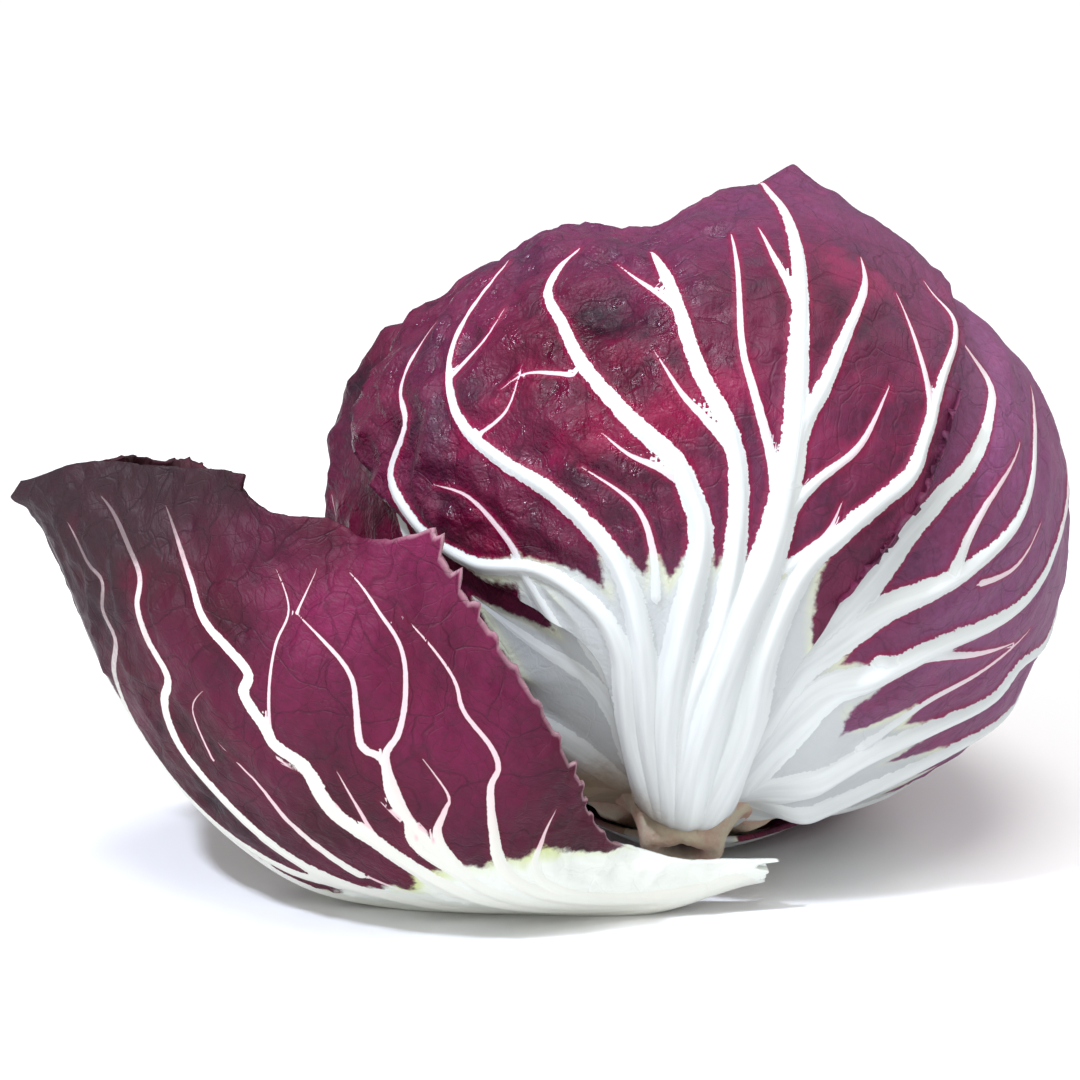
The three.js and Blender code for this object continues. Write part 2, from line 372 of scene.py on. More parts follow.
def addRibMasks(tree, start, coarseJag):
    # where a rib is, with its jagged edge, and the strip beside it
    fineJag = addMath(tree, "SUBTRACT", addNoise(tree, start["Vector"], *tissue["fineJag"]), 0.5)
    jag = addMath(tree, "MULTIPLY_ADD", fineJag, 0.6, coarseJag)
    smoothEdge = addRange(tree, start["Rib Width"], *tissue["smoothEdge"])
    roughEdge = addMath(tree, "MULTIPLY", start["Jag"], smoothEdge)
    # close to a thin rib its own middle line gives a finer edge
    finer = addMath(tree, "SUBTRACT", start["Rib Width"], addMath(tree, "ABSOLUTE", start["Rib Across"]))
    away = addMath(tree, "ADD", addRange(tree, start["Rib"], *tissue["nearRib"]),
                   addRange(tree, start["Rib Width"], *tissue["thinOnly"]))
    nearest = addMath(tree, "MAXIMUM", start["Rib"], addMath(tree, "SUBTRACT", finer, away))
    edge = addMath(tree, "MULTIPLY_ADD", jag, roughEdge, nearest)
    return addRange(tree, edge, *tissue["ribEdge"]), addRange(tree, edge, *tissue["fringe"])


def addNet(tree, place):
    # small veins, a coarse net and a fine one
    warp = addNoise(tree, place, *tissue["warp"], output="Color")
    warped = addNode(tree, "ShaderNodeMix", {0: tissue["warped"], 4: place, 5: warp}, data_type="VECTOR")
    nets = []
    for scale, width in tissue["nets"]:
        cell = addNode(tree, "ShaderNodeTexVoronoi", {"Vector": warped.outputs[1], "Scale": scale},
                       feature="DISTANCE_TO_EDGE")
        nets.append(addRange(tree, cell.outputs["Distance"], width, 0.0))
    return addMath(tree, "MULTIPLY_ADD", nets[1], tissue["fineNet"], nets[0])


def makeTissueGroup():
    # a leaf's colour and relief: a dark blade, its net of small veins, and jagged white ribs
    colour, number = "NodeSocketColor", "NodeSocketFloat"
    inputs = {"Vector": "NodeSocketVector", "Streak": number, "Crinkle": number}
    inputs.update(dict.fromkeys([*tissueReads, *tissueNumbers], number))
    inputs.update(dict.fromkeys(tissueColours, colour))
    outputs = {"Colour": colour, "Height": number, "Roughness": number}
    tree, start, end = newGroup("leafTissue", inputs, outputs)
    place = start["Vector"]
    coarseJag = addMath(tree, "SUBTRACT", addNoise(tree, place, *tissue["coarseJag"]), 0.5)
    ribMask, fringe = addRibMasks(tree, start, coarseJag)
    net = addNet(tree, place)
    speckle = addNoise(tree, place, *tissue["speckle"])

    # the dark blade: blotches with painted shade where it sinks, crimson patches, a mauve bloom with a painted sheen,
    # veins and a fringe along the ribs
    blotch = addMath(tree, "MULTIPLY_ADD", start["Hollow"], -0.14, addNoise(tree, place, *tissue["blotch"]))
    blade = addColourMix(tree, addRange(tree, blotch, *tissue["blade"]), start["Dark"], start["Light"])
    flush = addRange(tree, addNoise(tree, place, *tissue["flush"]), *tissue["flushed"])
    blade = addColourMix(tree, flush, blade, start["Fringe"])
    # the bloom is a mauve colour of the leaf, and also a painted lilac sheen where the mask rises on the right and top
    bloomAndSheen = addMath(tree, "MULTIPLY", start["Mauve"], addRange(tree, speckle, *tissue["bloomed"]))
    blade = addColourMix(tree, bloomAndSheen, blade, start["Bloom"])
    blade = addColourMix(tree, addMath(tree, "MULTIPLY", net, start["Net"]), blade, start["Dark"])
    blade = addColourMix(tree, addMath(tree, "MULTIPLY", fringe, 0.5), blade, start["Fringe"])
    # painted highlight: a pale line along the near margin of the peeled leaf
    blade = addColourMix(tree, start["Rim"], blade, start["Thin Rib"])

    # the white base, with tinted patches where it fades into the blade
    paleEdge = addMath(tree, "MULTIPLY_ADD", coarseJag, 0.5, start["Pale"])
    paleMask = addRange(tree, paleEdge, *tissue["paleEdge"])
    tintPatch = addRange(tree, addNoise(tree, place, *tissue["tint"]), *tissue["tintPatch"])
    tinted = addMath(tree, "MULTIPLY", addRange(tree, start["Pale"], *tissue["tinted"]), tintPatch)
    paleBlade = addColourMix(tree, tinted, start["Pale Colour"], start["Pale Tint"])
    blade = addColourMix(tree, paleMask, blade, paleBlade)

    # the ribs: grooved along their fibres, and pink where they are thin
    groove = addRange(tree, start["Streak"], *tissue["groove"])
    ribTint = addColourMix(tree, groove, start["Rib Colour"], start["Pale Colour"])
    outwards = addRange(tree, start["Rib"], *tissue["pinkAway"])
    onBlade = addMath(tree, "SUBTRACT", outwards, paleMask, clamp=True)
    thin = addMath(tree, "MULTIPLY", addRange(tree, start["Rib Width"], *tissue["pink"]), onBlade)
    ribTint = addColourMix(tree, thin, ribTint, start["Thin Rib"])
    flesh = addColourMix(tree, ribMask, blade, ribTint)
    stain = addRange(tree, addMath(tree, "MULTIPLY_ADD", speckle, 0.5, start["Core"]), *tissue["stained"])
    stained = addMath(tree, "MULTIPLY", stain, 0.8)
    tree.links.new(addColourMix(tree, stained, flesh, start["Core Colour"]), end["Colour"])

    # relief: crinkles, sunk veins and beads of water on the blade, and streaks on the ribs
    crinkles = addMath(tree, "MULTIPLY_ADD", start["Crinkle"], 1.8, addMath(tree, "MULTIPLY", net, -0.3))
    beads = addMath(tree, "MULTIPLY", start["Wet"], addNoise(tree, place, *tissue["bead"]))
    crinkles = addMath(tree, "ADD", crinkles, addMath(tree, "MULTIPLY", beads, 1.1))
    height = addMath(tree, "MULTIPLY_ADD", speckle, 0.25, crinkles)
    height = addMath(tree, "MULTIPLY", height, addRange(tree, start["Pale"], *tissue["flatPale"]))
    onRib = addMath(tree, "MULTIPLY", start["Streak"], 0.6)
    tree.links.new(addNumberMix(tree, ribMask, height, onRib), end["Height"])

    # gloss: a film of water lies in patches on the wet side
    rough = addRange(tree, speckle, *tissue["rough"])
    filmPatch = addRange(tree, addNoise(tree, place, *tissue["film"]), *tissue["filmPatch"])
    film = addMath(tree, "MULTIPLY", start["Wet"], filmPatch)
    bladeRough = addNumberMix(tree, film, rough, tissue["wetRough"])
    tree.links.new(addNumberMix(tree, ribMask, bladeRough, tissue["ribRough"]), end["Roughness"])
    return tree


tissueGroup = makeTissueGroup()

# colours as on a screen, how jagged the ribs are, how dark the net is and how strong the relief
tissueLooks = {
    "wrappedSkin": {
        # bloom is a mauve colour that also serves as a painted lilac sheen
        "dark": (18, 2, 10), "light": (88, 7, 41), "bloomAndSheen": (124, 70, 110), "fringe": (140, 5, 60),
        # its pale base is greyer than its ribs: painted shade in the valleys between the rib fingers
        "rib": (212, 216, 214), "thinRib": (220, 188, 197), "pale": (180, 184, 184),
        "paleTint": (196, 200, 176), "core": (146, 120, 84), "jag": 1.0, "net": 0.18, "bump": 0.45,
    },
    "innerSkin": {
        "dark": (24, 3, 12), "light": (82, 9, 38), "bloomAndSheen": (96, 46, 78), "fringe": (130, 10, 54),
        "rib": (206, 206, 198), "thinRib": (196, 150, 160), "pale": (184, 184, 170),
        "paleTint": (184, 182, 146), "core": (146, 120, 84), "jag": 1.0, "net": 0.18, "bump": 0.3,
    },
    "peeledSkin": {
        "dark": (13, 2, 7), "light": (65, 4, 28), "bloomAndSheen": (118, 20, 70), "fringe": (92, 4, 39),
        "rib": (220, 220, 210), "thinRib": (222, 184, 192), "pale": (222, 226, 218),
        "paleTint": (196, 206, 142), "core": (38, 29, 31), "jag": 0.8, "net": 0.25, "bump": 0.5,
    },
    "peeledInside": {
        "dark": (36, 3, 14), "light": (78, 10, 34), "bloomAndSheen": (90, 32, 60), "fringe": (104, 10, 46),
        "rib": (166, 106, 118), "thinRib": (122, 50, 74), "pale": (206, 206, 186),
        "paleTint": (192, 194, 146), "core": (50, 28, 33), "jag": 0.8, "net": 0.25, "bump": 0.4,
    },
}


def makeTissue(name, look):
    material, tree, shader = newMaterial(name)
    flat = addNode(tree, "ShaderNodeUVMap", uv_map="leaf").outputs["UV"]
    folded = addStretch(tree, flat, tissue["crinkleStretch"])
    onRib = addNode(tree, "ShaderNodeCombineXYZ", {
        "X": addRead(tree, "ribAcross"), "Y": addRead(tree, "ribAlong")}).outputs[0]
    fibres = addStretch(tree, onRib, tissue["streakStretch"])
    skin = addNode(tree, "ShaderNodeGroup", node_tree=tissueGroup)
    sources = {
        "Vector": addPlace(tree),
        "Streak": addNoise(tree, fibres, *tissue["streak"]),
        "Crinkle": addNoise(tree, folded, *tissue["crinkle"]),
    }
    sources.update({socket: addRead(tree, attribute) for socket, attribute in tissueReads.items()})
    for socket, source in sources.items():
        tree.links.new(source, skin.inputs[socket])
    for socket, key in tissueNumbers.items():
        skin.inputs[socket].default_value = look[key]
    for socket, key in tissueColours.items():
        skin.inputs[socket].default_value = linearColour(*look[key])
    tree.links.new(skin.outputs["Colour"], shader.inputs["Base Color"])
    tree.links.new(skin.outputs["Roughness"], shader.inputs["Roughness"])
    shader.inputs["Specular IOR Level"].default_value = tissue["shine"]
    addBump(tree, shader, skin.outputs["Height"], look["bump"], tissue["bumpDepth"])
    return material


skins = {name: makeTissue(name, look) for name, look in tissueLooks.items()}
print("made the leaf skins")

relief = {
    "ribRise": 3.4,         # of the widest ribs over the leaf
    "widestRib": 4.4,       # half width of a rib that rises that far
    "ribTaper": 1.5,
    "ribEnd": 9,            # from its tip to where a rib has its full width
    "ribFlank": 1.3,        # how far a rib slopes down to the leaf, in half widths
    "pucker": 0.9,          # how far the leaf bulges and sinks between its ribs
    "puckerSize": 13,
    "puckerClear": 5,       # how far from a rib it does so fully
    "crumple": 1.7,         # how much further it does where it is crumpled
    "crease": 2.6,
    "creaseSize": 10,
    "creaseClear": 3,
    "creaseOnSmooth": 0.25,         # how much of it is left where the leaf isn't crumpled
    "fineCrease": 0.8,
    "fineCreaseSize": 3.6,
    "fineCreaseClear": 1.5,
    "fineCreaseOnSmooth": 0.4,
    "wrinkle": 0.4,
    "wrinkleSize": 4.5,
    "wrinkleClear": 2,
    "foldMiddle": 0.3,      # between the crest and the bottom of a fold
    "crumpledSide": (-0.35, 0.3),   # from the right of the head to its left
    "wetSide": (-0.25, 0.25),
    "looseFrom": (24, 48),  # from the stem, in degrees: the relief starts here
    "paleTongue": 2.6,      # how far the dark blade reaches down between the ribs
    "paleFade": (12, 4),    # before and past the place where the white base ends
    "paleSmooth": 0.85,     # how much of the relief the white base lacks
    "ruffle": 1.8,          # how far a free margin lifts
    "ruffleWidth": 9,
    "ruffleFrom": (50, 70),
    "waveSize": 11,
    "thickest": 3.0,        # wall of a leaf under its widest ribs
    "thinnest": 0.3,        # of it, between the ribs
}

# where a leaf is mauve: an even share and patches of its own colour, and a painted sheen on the right of the head and
# at the top
mauveAndSheen = {
    "even": 0.4,
    "patch": 0.7,
    "patchSize": 26,
    "right": 0.6,
    "rightSheenFrom": (0.0, 0.8),
    "topSheen": 0.9,
    "topSheenFrom": (98, 125),
}

# the ribs of a leaf that has none of its own, each with its half widths at the stem and at its tip
fan = {
    "midrib": (3.4, 0.3),
    "sideRib": (2.6, 0.3),
    "thinner": 1.3,         # how much thinner the side ribs start towards the tip
    "fork": (0.9, 0.25),
    "forkFrom": 0.3,
    "ends": (0.2, 0.36, 0.5, 0.63, 0.76, 0.88),     # where side ribs end, as shares of a margin
    "inset": (0.96, 0.88),  # how near the margin they end, along and across
    "stray": 3,
}


def fanRibs(seed, leaf):
    # a midrib with side ribs that leave it in turn and bend out towards the margin
    random = np.random.default_rng(seed)
    tip = leaf["midrib"][-1][0]
    midrib = [(along, across + random.uniform(-1.5, 1.5)) for along, across in leaf["midrib"][:-1]]
    ribs = [(*fan["midrib"], midrib)]
    stray = fan["stray"]
    for side in ("left", "right"):
        margin = smoothLine(leaf[side], 30)
        for share in fan["ends"]:
            end = margin[int(share * 29)] * fan["inset"]
            along = end[0] + random.uniform(-stray, stray)
            across = end[1] + random.uniform(-stray, stray)
            leave = 10 + 0.42 * max(along - 20, 0) + random.uniform(-2, 2)
            bend = (leave + along) / 2 + random.uniform(0, 5)
            atStem, atTip = fan["sideRib"]
            ribs.append((atStem - fan["thinner"] * share, atTip, [
                (5, 0.04 * across), (leave, 0.1 * across),
                (bend, 0.5 * across + random.uniform(-2, 2)), (min(along + 6, tip), across)]))
            if share > fan["forkFrom"]:
                fork = 0.55 * across + random.uniform(-stray, stray)
                ribs.append((*fan["fork"], [
                    (bend, 0.5 * across), (bend + 10, fork),
                    (min(bend + 26, tip - 6), fork + random.uniform(-6, 2))]))
    return ribs


def ribField(points, normals, ribLines):
    # what every point of a leaf knows about its ribs, in mm
    field = {
        "edge": np.full(len(points), -8.0),     # distance inside the edge of a rib, and below 0 outside
        "rise": np.zeros(len(points)),          # height of the rib, as its half width at the crest
        "clear": np.full(len(points), 50.0),    # distance to the nearest rib
        "width": np.zeros(len(points)),         # half width of the rib that is nearest
        "across": np.zeros(len(points)),        # to the left or right of the middle of that rib
        "along": np.zeros(len(points)),
    }
    for atStem, atTip, line in ribLines:
        away, place = distanceToLine(points, line)
        steps = np.diff(line, axis=0)
        length = np.linalg.norm(steps, axis=1).sum()
        halfWidth = atTip + (atStem - atTip) * (1 - place) ** relief["ribTaper"]
        halfWidth *= np.sqrt(np.clip((1 - place) * length / relief["ribEnd"], 0.02, 1))
        step = np.minimum((place * len(steps)).astype(int), len(steps) - 1)
        side = np.sign((np.cross(steps[step], points - line[step]) * normals).sum(1))
        edge = halfWidth - away
        nearer = edge > field["edge"]
        for key, value in (("width", halfWidth), ("across", away * side), ("along", place * length)):
            field[key] = np.where(nearer, value, field[key])
        field["edge"] = np.maximum(field["edge"], edge)
        crest = 0.5 + 0.5 * np.cos(np.pi * np.clip(away / (relief["ribFlank"] * halfWidth + 0.3), 0, 1))
        field["rise"] = np.maximum(field["rise"], crest * np.minimum(halfWidth, relief["widestRib"]))
        field["clear"] = np.minimum(field["clear"], np.maximum(-edge, 0))
    return field


def foldsAt(points, size, shift):
    # narrow ridges with wide hollows between them
    return relief["foldMiddle"] - np.abs(noiseAt(points, size, shift))


def addAttribute(piece, name, values):
    attribute = piece.data.attributes.new(name, "FLOAT", "POINT")
    attribute.data.foreach_set("value", np.asarray(values, np.float32))


def addRibAttributes(piece, ribs):
    for name, key, low, high in (("rib", "edge", -8, 6), ("ribWidth", "width", 0, 9),
                                 ("ribAcross", "across", -40, 40), ("ribAlong", "along", 0, 400)):
        addAttribute(piece, name, np.clip(ribs[key], low, high))


def addLeafMap(piece, acrossMm, alongMm):
    # the leaf laid flat, in centimetres, for streaks that follow it
    layer = piece.data.uv_layers.new(name="leaf")
    corner = np.empty(len(piece.data.loops), int)
    piece.data.loops.foreach_get("vertex_index", corner)
    flat = np.stack([acrossMm[corner], alongMm[corner]], axis=1) / 10
    layer.data.foreach_set("uv", flat.ravel())


def thicken(piece, thickness, share):
    # the wall grows inwards, and the vertex group makes it thicker where share is near 1
    group = piece.vertex_groups.new(name="thick")
    for index, value in enumerate(share):
        group.add([index], float(value), "REPLACE")
    wall = piece.modifiers.new("wall", "SOLIDIFY")
    wall.thickness = thickness * toMetres
    wall.offset = -1
    wall.vertex_group = "thick"
    wall.thickness_vertex_group = relief["thinnest"]
    wall.use_rim = True


# The wrapped leaves, outermost first.
# left, midrib and right run from the stem to the tip, as (along, across).
# pale is how far from the stem the white base ends.
# A rib is its half width at the stem and at its tip, then its line outwards.
# A peak is the way to it, its height and its spread.
backLeaf = {
    "name": "back_leaf", "azimuth": 180, "cells": (130, 170), "seed": 11,
    "left": [(4, -7), (18, -18), (36, -32), (66, -46), (100, -48), (130, -38), (152, -20), (160, -8)],
    "midrib": [(4, 0), (50, 2), (100, 0), (163, 0)],
    "right": [(4, 7), (18, 20), (36, 38), (66, 54), (100, 56), (130, 44), (152, 24), (160, 8)],
    "mauveAndSheen": 0.5, "wet": 0.0, "crumple": 0.3, "pale": 30,
}

frontLeaf = {
    "name": "front_leaf", "azimuth": 0, "cells": (196, 220), "seed": 3,
    "left": [(4, -7), (27, -12), (40, -16), (46, -24), (50, -35), (56, -47), (68, -60), (90, -68),
             (114, -60), (138, -42), (158, -12)],
    "midrib": [(4, 0), (25, 1), (46, 5), (60, 9), (75, 11), (90, 11), (113, 10), (136, 6), (162, -2)],
    "right": [(4, 7), (28, 11), (44, 17), (56, 23), (70, 31), (85, 36), (107, 40), (130, 38), (150, 24),
              (158, 8)],
    "mauveAndSheen": 0.35, "wet": 1.0, "crumple": 1.0, "pale": 64,
    "peaks": [
        ((-0.47, -0.32, 0.82), 3.2, 4.5), ((-0.36, -0.44, 0.82), -1.2, 4), ((-0.30, -0.47, 0.83), 2.0, 4),
        ((0.24, -0.006, 0.97), 5.0, 4.5), ((0.12, -0.10, 0.985), 1.5, 6), ((0.36, -0.06, 0.93), 1.6, 5),
    ],
    "ribs": [
        (5.6, 0.5, [(4, 0), (25, 1), (46, 5), (60, 9), (75, 11), (88, 11), (102, 11), (114, 10),
                    (140, 6)]),
        (2.8, 0.4, [(4, -3), (22, -9), (34, -11), (42, -12), (49, -16), (54, -25), (53, -37), (58, -47),
                    (69, -54), (81, -51), (92, -53), (108, -48)]),
        (3.4, 0.4, [(4, -2.4), (28, -7), (45, -9), (57, -13), (66, -22), (72, -32), (79, -39), (89, -42),
                    (99, -41), (114, -34)]),
        (4.2, 0.6, [(4, -1.2), (28, -4), (46, -3), (61, -1), (68, -3), (73, -6), (78, -12), (86, -19),
                    (94, -23), (102, -26), (114, -23)]),
        (3.4, 0.9, [(4, -0.6), (30, -1), (49, 3), (67, 4), (77, 2), (86, -3), (98, -7), (109, -11)]),
        (2.6, 0.3, [(4, 1.2), (28, 3), (44, 5), (58, 8), (68, 9), (74, 8), (83, 5), (90, 3), (103, 2),
                    (112, 1)]),
        (2.4, 0.5, [(60, 9), (70, 11), (78, 12), (85, 15), (91, 17), (104, 21), (112, 21)]),
        (2.2, 0.3, [(46, 5), (59, 9), (67, 12), (71, 15), (77, 21), (87, 25)]),
        (4.2, 0.4, [(4, 1.8), (26, 8), (44, 10), (57, 14), (64, 20), (72, 28), (79, 31), (91, 34),
                    (106, 38), (118, 34)]),
        (0.9, 0.25, [(68, -2), (71, -7), (73, -12), (76, -16)]),
        (0.6, 0.2, [(96, -7), (101, -12), (106, -16)]),
        (1.0, 0.25, [(74, 3), (79, -2), (82, -5), (88, -9)]),
        (1.0, 0.3, [(97, 11), (102, 9), (107, 7), (114, 5)]),
        (1.2, 0.3, [(58, 12), (63, 17), (68, 19)]),
        (0.8, 0.25, [(80, 31), (86, 32), (95, 30), (107, 27)]),
        (1.0, 0.25, [(44, -22), (52, -27), (58, -30), (65, -37), (67, -44)]),
        (0.5, 0.15, [(88, -42), (94, -36), (100, -33)]),
        (0.8, 0.2, [(52, -7), (60, -8), (66, -11), (71, -19)]),
        (0.4, 0.15, [(85, -21), (86, -28), (84, -32)]),
        (0.35, 0.15, [(76, -36), (80, -31), (87, -29)]),
    ],
}

rightLeaf = {
    "name": "right_leaf", "azimuth": 90, "cells": (176, 220), "seed": 5,
    "left": [(3, -6), (5, -26), (9, -44), (24, -62), (55, -70), (90, -69), (118, -58), (140, -38),
             (152, -14)],
    "midrib": [(4, 0), (20, -7), (42, -16), (66, -18), (92, -16), (125, -8), (156, 0)],
    "right": [(4, 7), (14, 12), (30, 24), (50, 40), (80, 50), (110, 46), (136, 30), (152, 12)],
    "mauveAndSheen": 1.0, "wet": 0.15, "crumple": 0.4, "pale": 50,
    "ribs": [
        (5.2, 0.5, [(5, -9), (8, -19), (19, -37), (32, -44), (51, -49), (65, -49), (75, -47), (90, -44),
                    (99, -42), (112, -44)]),
        (5.0, 0.5, [(6, -9), (8, -16), (18, -34), (27, -39), (42, -42), (60, -38), (74, -34), (90, -32),
                    (104, -27)]),
        (4.6, 0.5, [(8, -9), (10, -14), (23, -30), (34, -32), (49, -30), (67, -21), (82, -18),
                    (98, -13)]),
        (4.4, 0.5, [(5, -3), (16, -9), (30, -14), (43, -12), (55, -7), (62, -8), (72, 0), (90, 4)]),
        (4.0, 0.5, [(5, -1), (20, -1), (35, -1), (50, 2), (68, 12), (88, 16)]),
        (3.6, 0.5, [(5, 1), (18, 6), (32, 14), (48, 22), (70, 28), (96, 30)]),
        (2.8, 0.4, [(5, 3), (22, 14), (38, 27), (58, 38), (80, 43)]),
        (1.5, 0.3, [(36, -34), (46, -29), (54, -22), (62, -15)]),
        (1.0, 0.25, [(56, -40), (66, -42), (76, -41), (88, -37)]),
        (1.0, 0.25, [(50, -50), (60, -54), (70, -57), (84, -55)]),
        (1.2, 0.25, [(30, -17), (42, -20), (54, -17), (66, -13)]),
        (1.1, 0.25, [(22, -2), (34, 5), (46, 9)]),
        (0.6, 0.2, [(60, -34), (68, -29), (78, -27)]),
    ],
}

leftLeaf = {
    "name": "left_leaf", "azimuth": -60, "cells": (150, 180), "seed": 7,
    "left": [(4, -7), (16, -13), (30, -24), (52, -34), (80, -38), (108, -36), (130, -22), (140, -8)],
    "midrib": [(4, 1), (25, 6), (50, 6), (80, 2), (110, 0), (144, 0)],
    "right": [(4, 8), (12, 24), (25, 38), (50, 50), (80, 52), (108, 42), (130, 24), (140, 8)],
    "mauveAndSheen": 0.3, "wet": 0.6, "crumple": 0.8, "pale": 60,
    "peaks": [
        ((-0.87, 0.0, 0.49), 3.4, 4), ((-0.935, -0.01, 0.35), 3.6, 4.5), ((-0.976, -0.03, 0.215), 2.0, 4),
        ((-0.997, -0.05, 0.05), 2.6, 4),
    ],
    "ribs": [
        (4.2, 0.5, [(4, 4), (16, 10), (25, 15.5), (35, 17.5), (46, 14), (56, 9)]),
        (4.2, 0.5, [(4, 6), (19, 16), (29, 20.5), (41, 23), (53, 23), (66, 24)]),
        (3.2, 0.5, [(4, 1), (18, 3), (32, 5), (48, 1), (80, 0), (110, -2)]),
        (2.8, 0.4, [(4, -1), (20, -6), (36, -14), (56, -20), (84, -22)]),
        (2.2, 0.4, [(5, -3), (24, -16), (44, -26), (70, -31)]),
        (2.8, 0.4, [(5, 8), (26, 24), (46, 34), (64, 38), (90, 38)]),
    ],
}

backRightLeaf = {
    "name": "back_right_leaf", "azimuth": 128, "cells": (140, 170), "seed": 13,
    "left": [(4, -7), (20, -24), (42, -46), (70, -58), (100, -58), (130, -44), (156, -22), (166, -8)],
    "midrib": [(4, 0), (50, 0), (100, 2), (168, 0)],
    "right": [(4, 7), (20, 20), (42, 40), (70, 54), (100, 56), (130, 44), (156, 22), (166, 8)],
    "mauveAndSheen": 0.7, "wet": 0.0, "crumple": 0.3, "pale": 30,
}

backLeftLeaf = {
    "name": "back_left_leaf", "azimuth": -125, "cells": (140, 170), "seed": 17,
    "left": [(4, -7), (20, -22), (42, -42), (70, -56), (100, -58), (130, -44), (150, -22), (160, -8)],
    "midrib": [(4, 0), (50, 0), (100, -2), (162, 0)],
    "right": [(4, 7), (20, 24), (42, 46), (70, 60), (100, 60), (130, 46), (150, 24), (160, 8)],
    "mauveAndSheen": 0.4, "wet": 0.2, "crumple": 0.6, "pale": 30,
}

innerLeaf = {
    "cells": (90, 110),
    "left": [(9, -5), (18, -22), (34, -42), (56, -58), (84, -68), (116, -66), (146, -50), (168, -28),
             (180, -8)],
    "midrib": [(9, 0), (60, 0), (120, 0), (184, 0)],
    "right": [(9, 5), (18, 22), (34, 42), (56, 58), (84, 68), (116, 66), (146, 50), (168, 28), (180, 8)],
    "mauveAndSheen": 0.3, "wet": 0.0, "crumple": 0.3, "pale": 30,
}

wrappedLeaves = [
    backLeaf, frontLeaf, rightLeaf, leftLeaf, backRightLeaf, backLeftLeaf,
    {"name": "inner_front_leaf", "azimuth": 20, "seed": 19, **innerLeaf},
    {"name": "inner_back_leaf", "azimuth": 200, "seed": 23, **innerLeaf},
    {"name": "inner_right_leaf", "azimuth": 110, "seed": 29, **innerLeaf},
    {"name": "inner_left_leaf", "azimuth": -70, "seed": 31, **innerLeaf},
]


def leafAngles(leaf, across, along):
    # a grid bent through the left margin, the midrib and the right margin
    at = {}
    for side in ("left", "midrib", "right"):
        line = smoothLine(leaf[side], 200)
        stops = np.linspace(0, 1, len(line))
        at[side] = np.stack([np.interp(along, stops, column) for column in line.T], axis=1)
    across = across[:, None]
    return (at["left"] * across * (across - 1) / 2 + at["midrib"] * (1 - across**2)
            + at["right"] * across * (across + 1) / 2)


def leafRibLines(leaf):
    for atStem, atTip, line in leaf.get("ribs") or fanRibs(leaf["seed"], leaf):
        directions = directionsOnLeaf(leaf["axes"], smoothLine(line, 8 * len(line)))
        yield atStem, atTip, pointsAt(directions, headRadius(directions))


def bladeRelief(leaf, surface, clear, lumps, crumpled):
    # the blade bulges, crumples and creases between its ribs
    ridges = foldsAt(surface, relief["creaseSize"], leaf["seed"] + 5.5)
    fineRidges = foldsAt(surface, relief["fineCreaseSize"], leaf["seed"] + 6.5)
    ripples = noiseAt(surface, relief["wrinkleSize"], leaf["seed"] + 0.5)
    pucker = relief["pucker"] + relief["crumple"] * crumpled
    blade = pucker * smoothStep(clear, 0, relief["puckerClear"]) * lumps
    crease = relief["crease"] * (relief["creaseOnSmooth"] + crumpled)
    blade += crease * smoothStep(clear, 0, relief["creaseClear"]) * ridges
    fineCrease = relief["fineCrease"] * (relief["fineCreaseOnSmooth"] + crumpled)
    blade += fineCrease * smoothStep(clear, 0, relief["fineCreaseClear"]) * fineRidges
    blade += relief["wrinkle"] * smoothStep(clear, 0, relief["wrinkleClear"]) * ripples
    return blade


def marginLift(leaf, surface, directions, fromMargin, fromStem):
    # a free margin is wavy, and has its peaks
    wave = np.clip(0.35 + 1.1 * noiseAt(surface, relief["waveSize"], leaf["seed"] + 7.7), 0, 1)
    nearMargin = 1 - smoothStep(fromMargin, 0, relief["ruffleWidth"])
    yield relief["ruffle"] * wave * nearMargin * smoothStep(fromStem, *relief["ruffleFrom"])
    for towards, height, spread in leaf.get("peaks", ()):
        yield height * np.exp(-((degreesFrom(unit(towards), directions) / spread) ** 1.5))


def layOnHead(order, directions, radius, lift):
    # each leaf lies on the ones under it, and only what is bare of other leaves has its relief
    covers = [coverShare(outer, directions) for outer in wrappedLeaves[:order]]
    sunk = sum(covers) * head["leafPitch"] if covers else 0
    bare = 1 - np.max(covers, axis=0) if covers else 1
    ground = (restSpot[2] - headCentre[2]) / np.minimum(directions[:, 2], -tiny)
    return pointsAt(directions, np.minimum(radius - sunk + lift * bare, ground))


